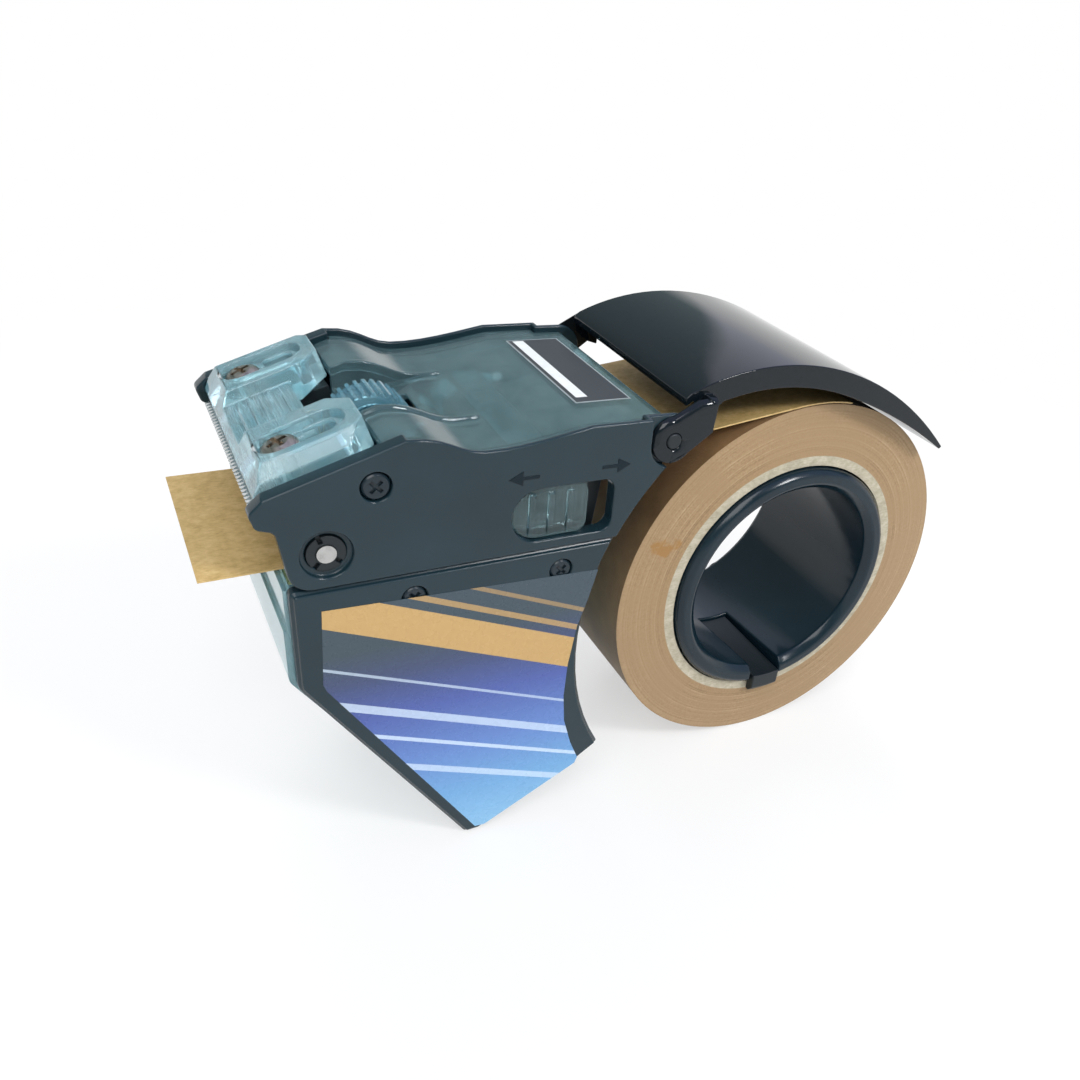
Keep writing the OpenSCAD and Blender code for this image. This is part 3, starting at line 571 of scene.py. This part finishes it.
def printed_vinyl(name):
    """Printed vinyl label: flat inks under a half-glossy skin with a slight orange peel."""
    material = blank(name)
    place = add(material, "ShaderNodeTexCoord")
    skin = add(
        material, "ShaderNodeTexNoise", {"Vector": (place, "Object"), "Scale": scale_for(3), "Detail": 4.0}
    )
    gloss = add(
        material,
        "ShaderNodeMapRange",
        {"Value": (skin, "Fac"), "From Min": 0.3, "From Max": 0.8, "To Min": 0.22, "To Max": 0.36},
    )
    relief = add(
        material, "ShaderNodeBump", {"Height": (skin, "Fac"), "Strength": 0.06, "Distance": 0.1 * MM}
    )
    shader = add(
        material,
        "ShaderNodeBsdfPrincipled",
        {
            "Base Color": label_ink(material, place),
            "Roughness": (gloss, "Result"),
            "Normal": (relief, "Normal"),
        },
    )
    add(material, "ShaderNodeOutputMaterial", {"Surface": (shader, "BSDF")})
    return material


def dress(material, *names):
    """Puts a finish on CAD nodes, in their own material slots."""
    for name in names:
        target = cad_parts[name]
        target.data.materials.clear()
        target.data.materials.append(material)


# ---- pieces ----


def made(name, shape, material, body):
    """Turns a finished bmesh into a piece that rides on a body."""
    mesh = bpy.data.meshes.new(name)
    shape.to_mesh(mesh)
    shape.free()
    mesh.materials.append(material)
    piece = bpy.data.objects.new(name, mesh)
    bpy.context.scene.collection.objects.link(piece)
    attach(piece, body)
    return piece


def thicken(shape, faces, lift):
    """Gives flat faces a thickness: they move by lift and leave walls and a back behind."""
    grown = bmesh.ops.extrude_face_region(shape, geom=faces)
    moved = [item for item in grown["geom"] if isinstance(item, bmesh.types.BMVert)]
    bmesh.ops.translate(shape, verts=moved, vec=lift)
    bmesh.ops.recalc_face_normals(shape, faces=shape.faces)


def near_plate(name, outline, thick, material, body):
    """A thin plate from an XZ outline in millimetres, which stands out from the near face by thick metres."""
    shape = bmesh.new()
    corners = [shape.verts.new((x * MM, NEAR_FACE, z * MM)) for x, z in outline]
    thicken(shape, [shape.faces.new(corners)], (0, -thick, 0))
    return made(name, shape, material, body)


def join_flats(shape):
    """Joins the triangles of every flat face."""
    bmesh.ops.dissolve_limit(
        shape,
        angle_limit=math.radians(FLAT),
        use_dissolve_boundaries=False,
        verts=shape.verts,
        edges=shape.edges,
    )


def is_sharp(edge):
    """Whether two faces meet here at an edge that a mould would round."""
    return edge.calc_face_angle() > math.radians(SHARP)


def rounded(name, body, radius, shoulder=None):
    """A copy of a CAD node whose doubles are merged, edges rounded by radius and curves shaded round.

    shoulder is (test, radius, segments) for edges that get a larger radius first."""
    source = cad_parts[name]
    shape = bmesh.new()
    shape.from_mesh(source.data)
    bmesh.ops.remove_doubles(shape, verts=shape.verts, dist=DOUBLE * MM)
    rounds = [(is_sharp, radius, 2)]
    if shoulder:
        # a wide bevel needs whole faces, but a ring-shaped face would break it
        join_flats(shape)
        rounds.insert(0, shoulder)
    for test, width, segments in rounds:
        picked = [edge for edge in shape.edges if len(edge.link_faces) == 2 and test(edge)]
        bmesh.ops.bevel(
            shape,
            geom=picked,
            offset=width,
            offset_type="OFFSET",
            segments=segments,
            profile=0.5,
            affect="EDGES",
            clamp_overlap=False,
            material=-1,
        )
    join_flats(shape)
    for face in shape.faces:
        face.smooth = True
    for edge in shape.edges:
        edge.smooth = len(edge.link_faces) == 2 and edge.calc_face_angle() < math.radians(SMOOTH)
    piece = made(name + "_rounded", shape, source.data.materials[0], body)
    evened = piece.modifiers.new("evened", "WEIGHTED_NORMAL")
    evened.keep_sharp = True
    evened.weight = 100
    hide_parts(name)


# ---- settings ----


class DispenserFinish(bpy.types.PropertyGroup):
    """Colours of the large mouldings"""

    abs_black: StringProperty(name="Black ABS", description="sRGB hex of the moulded body", default="#15282f")
    abs_worn: StringProperty(
        name="Worn ABS", description="sRGB hex where the body is rubbed", default="#1c3038"
    )
    clear_blue: StringProperty(
        name="Clear blue", description="sRGB hex of the clear blue parts", default="#cceff5"
    )
    smoke: StringProperty(name="Smoke", description="sRGB hex of the top cover", default="#7b9ca2")


class DispenserTrim(bpy.types.PropertyGroup):
    """Roundings and film thicknesses"""

    edge_radius: FloatProperty(
        name="Edge", description="Radius on the black body's edges", unit="LENGTH", default=0.45 * MM
    )
    shoulder_radius: FloatProperty(
        name="Shoulder", description="Radius along the fender's shoulders", unit="LENGTH", default=1.9 * MM
    )
    rib_radius: FloatProperty(
        name="Rib", description="Radius along the lock's grip ribs", unit="LENGTH", default=0.8 * MM
    )
    label_thickness: FloatProperty(
        name="Label", description="Thickness of the tank's label", unit="LENGTH", default=0.08 * MM
    )
    arrow_height: FloatProperty(
        name="Arrow", description="Height of the raised arrows", unit="LENGTH", default=0.1 * MM
    )


class DispenserStage(bpy.types.PropertyGroup):
    """The camera that took the photograph"""

    camera_at: FloatVectorProperty(
        name="Camera",
        description="Where the camera stands",
        size=3,
        unit="LENGTH",
        default=(-0.11951, -0.20953, 0.20669),
    )
    yaw: FloatProperty(name="Yaw", description="Camera heading", unit="ROTATION", default=0.572159)
    pitch: FloatProperty(
        name="Pitch", description="Camera's downward tilt", unit="ROTATION", default=0.583466
    )
    roll: FloatProperty(name="Roll", description="Camera's lean", unit="ROTATION", default=0.131026)
    focal_px: FloatProperty(
        name="Focal length", description="In pixels of the photograph", subtype="PIXEL", default=950.36
    )


# ---- operators ----


class DISPENSER_OT_body_mouldings(bpy.types.Operator):
    """Finish the black mouldings of the body, tank and hub"""

    bl_idname = "dispenser.body_mouldings"
    bl_label = "Body mouldings"

    def execute(self, context):
        tone = context.scene.dispenser_finish
        dress(
            satin_black("Satin ABS black", tone.abs_black, tone.abs_worn),
            "side_plate_near", "side_plate_far", "tank_side_near", "tank_side_far",
            "wheel_spacers", "tank_lid",
        )
        # a darker copy of the body's ABS: the darker colour is painted shade in the roll's bore
        dress(satin_black("Hub ABS black", "#0e1e27", "#14262f", rough=0.17, shine=0.3), "roll_hub")
        dress(
            satin_black("Plain ABS black", "#12191d", "#1b2327", rough=0.42),
            "cutter_bridge", "tape_deck", "axle_bushes", "fender_pins", "roll_catch",
        )
        dress(gloss_abs("Polished ABS black", "#0e161b", "#151a1f"), "fender")
        return {"FINISHED"}


class DISPENSER_OT_clear_mouldings(bpy.types.Operator):
    """Finish the clear blue and smoke mouldings"""

    bl_idname = "dispenser.clear_mouldings"
    bl_label = "Clear mouldings"

    def execute(self, context):
        tone = context.scene.dispenser_finish
        dress(
            clear_plastic("Clear blue polycarbonate", tone.clear_blue, "#a4d6e0", clear=0.74),
            "water_tank", "cutter_head",
        )
        # a deeper copy of the clear blue: the deeper tint is painted shade between the wheel's ribs
        dress(
            clear_plastic("Shaded blue polycarbonate", "#a9d9e6", "#74b3c8", clear=0.7, shine=0.7),
            "thumb_wheel",
        )
        dress(
            clear_plastic("Clear polycarbonate", "#b9dde2", "#6d9ca3", rough=0.02, clear=0.94, shine=0.7),
            "lock_slider",
        )
        dress(
            clear_plastic("Smoke polycarbonate", tone.smoke, "#67888f", rough=0.05, clear=0.76, shine=0.3),
            "top_cover",
        )
        return {"FINISHED"}


class DISPENSER_OT_paper(bpy.types.Operator):
    """Finish the paper roll, its core and the free tape"""

    bl_idname = "dispenser.paper"
    bl_label = "Paper"

    def execute(self, context):
        dress(kraft_roll("Wound kraft paper"), "paper_roll")
        dress(
            thin_sheet("Kraft paper", [(0.35, "#b09358"), (0.5, "#c5a66c"), (0.65, "#d3b780")]),
            "tape_strip",
        )
        dress(
            thin_sheet("Core board", [(0.35, "#9b937e"), (0.55, "#b5ad98"), (0.7, "#c6bfab")], rough=0.8),
            "roll_core",
        )
        return {"FINISHED"}


class DISPENSER_OT_metal_and_rubber(bpy.types.Operator):
    """Finish the axles, screws, blade and rollers"""

    bl_idname = "dispenser.metal_and_rubber"
    bl_label = "Metal and rubber"

    def execute(self, context):
        dress(rubber("Ground nitrile rubber", "#22272a", "#3b4042"), "pinch_roller", "front_roller")
        dress(foam("Open-cell foam", "#8f8560", "#d9cf9a"), "wetting_roller")
        dress(
            steel("Drawn steel", "#c0c0be", "#aeaeac", streak_mm=1.5),
            "wheel_shaft", "pinch_axle", "front_axle", "tie_rod", "wetting_axle",
        )
        dress(steel("Stamped stainless steel", "#d2d6d7", "#aeb3b5", rough=0.24), "blade")
        dress(
            steel("Dull nickel plate", "#b8afa3", "#8f867b", rough=0.3, streak_mm=1.0),
            "cutter_screws", "hub_screws",
        )
        dress(
            satin_black("Blackened steel", "#101d23", "#1c2b33", rough=0.22, grain_mm=0.3),
            "side_screws", "tank_screws",
        )
        return {"FINISHED"}


class DISPENSER_OT_rounded_mouldings(bpy.types.Operator):
    """Round the edges of the mouldings, and the fender's shoulders more, as the moulds leave them"""

    bl_idname = "dispenser.rounded_mouldings"
    bl_label = "Rounded mouldings"

    def execute(self, context):
        trim = context.scene.dispenser_trim
        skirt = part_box("fender")[1][1] - SKIN * MM
        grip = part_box("lock_slider")[1][1] - SKIN * MM

        def fender_shoulder(edge):
            """An edge between the fender's top sheet, which faces off the roll, and a skirt's outer face."""
            if min(abs(end.co.y) for end in edge.verts) < skirt:
                return False
            outward = (edge.verts[0].co + edge.verts[1].co) / 2 - ROLL_AXIS
            outward.y = 0.0
            leans = [face.normal.dot(outward.normalized()) for face in edge.link_faces]
            faces_out = max(leans) > 0.6
            return faces_out and edge.calc_face_angle() > math.radians(SHOULDER)

        def rib_edge(edge):
            """An upright edge of a grip rib's outer face."""
            ends = [end.co for end in edge.verts]
            upright = abs(ends[0].x - ends[1].x) < UPRIGHT * MM
            return upright and min(abs(end.y) for end in ends) > grip

        rounded("fender", "fender", 0.3 * MM, (fender_shoulder, trim.shoulder_radius, 5))
        rounded("lock_slider", "lock_slider", 0.2 * MM, (rib_edge, trim.rib_radius, 4))
        for name, body, slot, radius in (
            ("top_cover", "frame", "smoke_clear_plastic", 0.3 * MM),
            ("side_plate_near", "frame", "body_plastic", trim.edge_radius),
            ("side_plate_far", "frame", "body_plastic", trim.edge_radius),
            ("tank_side_near", "tank", "body_plastic", trim.edge_radius),
            ("tank_side_far", "tank", "body_plastic", trim.edge_radius),
            ("roll_hub", "frame", "hub_plastic", 0.6 * MM),
            ("roll_catch", "roll_catch", "inner_plastic", 0.4 * MM),
            ("cutter_head", "frame", "blue_clear_plastic", 0.4 * MM),
            ("fender_pins", "frame", "inner_plastic", 0.5 * MM),
        ):
            rounded(name, body, radius)
        return {"FINISHED"}


class DISPENSER_OT_tank_label(bpy.types.Operator):
    """Lay the printed label on the tank's near side"""

    bl_idname = "dispenser.tank_label"
    bl_label = "Tank label"

    def execute(self, context):
        thick = context.scene.dispenser_trim.label_thickness
        material = printed_vinyl("Printed vinyl label")
        near_plate("tank_label", LABEL_OUTLINE, thick, material, "tank")
        return {"FINISHED"}


class DISPENSER_OT_cover_plate(bpy.types.Operator):
    """Lay the bare dark plate with its pale strip on the top cover"""

    bl_idname = "dispenser.cover_plate"
    bl_label = "Cover plate"

    def execute(self, context):
        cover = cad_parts["top_cover"].data
        surface = BVHTree.FromPolygons([v.co for v in cover.vertices], [f.vertices for f in cover.polygons])
        # each film is laid out at this height and dropped on the cover corner by corner
        height = 0.2
        dark = satin_black("Matt black film", "#2a2e31", "#383d40", rough=0.45, grain_mm=0.4)
        pale = thin_sheet("White film", [(0.3, "#cfd4d5"), (0.7, "#e6e9e9")], rough=0.4)
        grey = thin_sheet("Grey film", [(0.3, "#7f898c"), (0.7, "#98a2a5")], rough=0.4)
        for name, (x0, x1), (y0, y1), margin, films, material in (
            ("cover_plate_rim", PLATE_X, PLATE_Y, RIM, 0, grey),
            ("cover_plate", PLATE_X, PLATE_Y, 0.0, 1, dark),
            ("cover_strip", STRIP_X, STRIP_Y, 0.0, 2, pale),
        ):
            size = ((x1 - x0 + 2 * margin) * MM, (y1 - y0 + 2 * margin) * MM, 1.0)
            middle = ((x0 + x1) / 2 * MM, (y0 + y1) / 2 * MM, height)
            shape = bmesh.new()
            bmesh.ops.create_grid(shape, x_segments=10, y_segments=4, size=0.5)
            bmesh.ops.scale(shape, vec=size, verts=shape.verts)
            bmesh.ops.translate(shape, vec=middle, verts=shape.verts)
            for corner in shape.verts:
                corner.co.z = surface.ray_cast(corner.co, Vector((0, 0, -1)))[0].z
            thicken(shape, shape.faces[:], (0, 0, (RIM_LIFT + films * FILM_LIFT) * MM))
            made(name, shape, material, "frame")
        return {"FINISHED"}


class DISPENSER_OT_lock_arrows(bpy.types.Operator):
    """Raise the two plain arrows above the lock's window"""

    bl_idname = "dispenser.lock_arrows"
    bl_label = "Lock arrows"

    def execute(self, context):
        height = context.scene.dispenser_trim.arrow_height
        raised = satin_black("Raised ABS", "#0c1b21", "#10222a", rough=0.3, shine=0.16)
        for name, (tip, way) in ARROW_TIPS.items():
            neck, tail = tip + ARROW_HEAD * way, tip + ARROW_LENGTH * way
            upper = [(neck, ARROW_HEAD_HALF), (neck, ARROW_STEM_HALF), (tail, ARROW_STEM_HALF)]
            half = [(x, -z) for x, z in reversed(upper)]
            outline = [(x, ARROW_Z + z) for x, z in [(tip, 0.0)] + upper + half]
            near_plate(name, outline, height, raised, "frame")
        return {"FINISHED"}


def seen_by(owner, rays):
    """Whether the camera sees this, itself, in a reflection or through a clear part."""
    direct = add(
        owner,
        "ShaderNodeMath",
        {0: (rays, "Is Camera Ray"), 1: (rays, "Is Glossy Ray")},
        operation="MAXIMUM",
    )
    return add(
        owner,
        "ShaderNodeMath",
        {0: (direct, "Value"), 1: (rays, "Is Transmission Ray")},
        operation="MAXIMUM",
    )


def studio_floor():
    """The floor's material: pale paper that keeps the object's shadow, yet looks white further out."""
    material = blank("Pale studio paper")
    seen = seen_by(material, add(material, "ShaderNodeLightPath"))
    # the glow that whitens the floor grows from 0.1 m to 0.45 m away from the middle
    spot = add(material, "ShaderNodeTexCoord")
    away = add(material, "ShaderNodeVectorMath", {0: (spot, "Object")}, operation="LENGTH")
    fade = add(
        material,
        "ShaderNodeMapRange",
        {"Value": (away, "Value"), "From Min": 0.1, "From Max": 0.45, "To Min": 0.55, "To Max": 1.0},
    )
    share = add(material, "ShaderNodeMath", {0: (seen, "Value"), 1: (fade, "Result")}, operation="MULTIPLY")
    paper = add(material, "ShaderNodeBsdfDiffuse", {"Color": to_linear("#f2f2f2")})
    glow = add(material, "ShaderNodeEmission", {"Color": (1, 1, 1, 1), "Strength": 1.0})
    mix = add(
        material,
        "ShaderNodeMixShader",
        {0: (share, "Value"), 1: (paper, "BSDF"), 2: (glow, "Emission")},
    )
    add(material, "ShaderNodeOutputMaterial", {"Surface": (mix, "Shader")})
    return material


def studio_room():
    """The world: a plain soft light, a white backdrop for the camera, and a room for reflections."""
    world = bpy.data.worlds.new("studio")
    world.use_nodes = True
    world.node_tree.nodes.clear()
    rays = add(world, "ShaderNodeLightPath")
    seen = seen_by(world, rays)
    # only reflections and clear parts show the room: white near the floor, then a bright wall to the right
    # and duller ones elsewhere, and the bright wall's edge is bowed
    heading = add(world, "ShaderNodeTexCoord")
    lean = add(world, "ShaderNodeSeparateXYZ", {"Vector": (heading, "Generated")})
    bow = add(world, "ShaderNodeMath", {0: (lean, "Z"), 1: 3.0}, operation="POWER")
    turned = add(
        world, "ShaderNodeMath", {0: (bow, "Value"), 1: 1.6, 2: (lean, "X")}, operation="MULTIPLY_ADD"
    )
    walls = add(
        world,
        "ShaderNodeValToRGB",
        {"Fac": (turned, "Value")},
        stops=[(0.0, "#8c9da1"), (0.585, "#8c9da1"), (0.61, "#eef0ff"), (1.0, "#bfc6ee")],
    )
    high = add(world, "ShaderNodeMapRange", {"Value": (lean, "Z"), "From Min": 0.13, "From Max": 0.25})
    mirrored = add(world, "ShaderNodeMath", {0: 1.0, 1: (rays, "Is Camera Ray")}, operation="SUBTRACT")
    walled = add(world, "ShaderNodeMath", {0: (high, "Result"), 1: (mirrored, "Value")}, operation="MULTIPLY")
    room = add(
        world,
        "ShaderNodeMix",
        {"Factor": (walled, "Value"), "A": (1, 1, 1, 1), "B": (walls, "Color")},
        data_type="RGBA",
    )
    soft = add(world, "ShaderNodeBackground", {"Color": to_linear("#e3e8f0"), "Strength": 0.6})
    backdrop = add(world, "ShaderNodeBackground", {"Color": (room, "Result"), "Strength": 1.0})
    both = add(
        world,
        "ShaderNodeMixShader",
        {0: (seen, "Value"), 1: (soft, "Background"), 2: (backdrop, "Background")},
    )
    add(world, "ShaderNodeOutputWorld", {"Surface": (both, "Shader")})
    return world


class DISPENSER_OT_stage(bpy.types.Operator):
    """Set up the floor, the soft studio light and the camera"""

    bl_idname = "dispenser.stage"
    bl_label = "Stage"

    def execute(self, context):
        scene = context.scene
        scene.view_settings.view_transform = "Standard"
        self.lay_floor(scene)
        scene.world = studio_room()
        for name, place, size, power in LAMPS:
            self.hang_lamp(scene, name, place, size, power)
        self.stand_camera(scene)
        return {"FINISHED"}

    def lay_floor(self, scene):
        """A wide floor just under the tank's foot."""
        shape = bmesh.new()
        bmesh.ops.create_grid(shape, x_segments=2, y_segments=2, size=FLOOR_HALF)
        mesh = bpy.data.meshes.new("floor")
        shape.to_mesh(mesh)
        shape.free()
        mesh.materials.append(studio_floor())
        floor = bpy.data.objects.new("floor", mesh)
        floor.location.z = -FLOOR_DROP
        scene.collection.objects.link(floor)

    def hang_lamp(self, scene, name, place, size, power):
        """A square soft box that looks at the object. The rear one lights it but isn't mirrored in it."""
        light = bpy.data.lights.new(name, "AREA")
        light.size = size
        light.energy = power
        lamp = bpy.data.objects.new(name, light)
        lamp.location = place
        lamp.rotation_euler = (LAMPS_AIM - lamp.location).to_track_quat("-Z", "Y").to_euler()
        lamp.visible_glossy = name != "rear"
        scene.collection.objects.link(lamp)

    def stand_camera(self, scene):
        """The photograph's camera: its place, its heading, tilt and lean, and its lens."""
        view = scene.dispenser_stage
        lens = bpy.data.cameras.new("camera")
        lens.sensor_width = SENSOR_MM
        lens.lens = view.focal_px / PHOTO_PX * SENSOR_MM
        lens.shift_x = (PHOTO_PX / 2 - AXIS_PX[0]) / PHOTO_PX
        lens.shift_y = (AXIS_PX[1] - PHOTO_PX / 2) / PHOTO_PX
        lens.clip_start = 0.01
        camera = bpy.data.objects.new("camera", lens)
        ahead = Vector(
            (
                math.sin(view.yaw) * math.cos(view.pitch),
                math.cos(view.yaw) * math.cos(view.pitch),
                -math.sin(view.pitch),
            )
        )
        level = Vector((math.cos(view.yaw), -math.sin(view.yaw), 0.0))
        upright = level.cross(ahead)
        right = math.cos(view.roll) * level + math.sin(view.roll) * upright
        up = -math.sin(view.roll) * level + math.cos(view.roll) * upright
        turn = Matrix((right, up, -ahead)).transposed().to_4x4()
        camera.matrix_world = Matrix.Translation(view.camera_at) @ turn
        scene.collection.objects.link(camera)
        scene.camera = camera


class DISPENSER_PT_panel(bpy.types.Panel):
    """Lists the steps that dress the dispenser"""

    bl_idname = "DISPENSER_PT_panel"
    bl_label = "Tape dispenser"
    bl_space_type = "VIEW_3D"
    bl_region_type = "UI"
    bl_category = "Dispenser"

    def draw(self, context):
        for step in STEPS:
            self.layout.operator(step.bl_idname)


GROUPS = {
    "dispenser_finish": DispenserFinish,
    "dispenser_trim": DispenserTrim,
    "dispenser_stage": DispenserStage,
}
STEPS = (
    DISPENSER_OT_body_mouldings,
    DISPENSER_OT_clear_mouldings,
    DISPENSER_OT_paper,
    DISPENSER_OT_metal_and_rubber,
    DISPENSER_OT_rounded_mouldings,
    DISPENSER_OT_tank_label,
    DISPENSER_OT_cover_plate,
    DISPENSER_OT_lock_arrows,
    DISPENSER_OT_stage,
)


def register():
    for item in (*GROUPS.values(), *STEPS, DISPENSER_PT_panel):
        bpy.utils.register_class(item)
    for name, group in GROUPS.items():
        setattr(bpy.types.Scene, name, PointerProperty(type=group))


def unregister():
    for name in reversed(GROUPS):
        delattr(bpy.types.Scene, name)
    for item in reversed((*GROUPS.values(), *STEPS, DISPENSER_PT_panel)):
        bpy.utils.unregister_class(item)


def main():
    register()
    for step in STEPS:
        group, name = step.bl_idname.split(".")
        getattr(getattr(bpy.ops, group), name)()


if __name__ == "__main__":
    main()
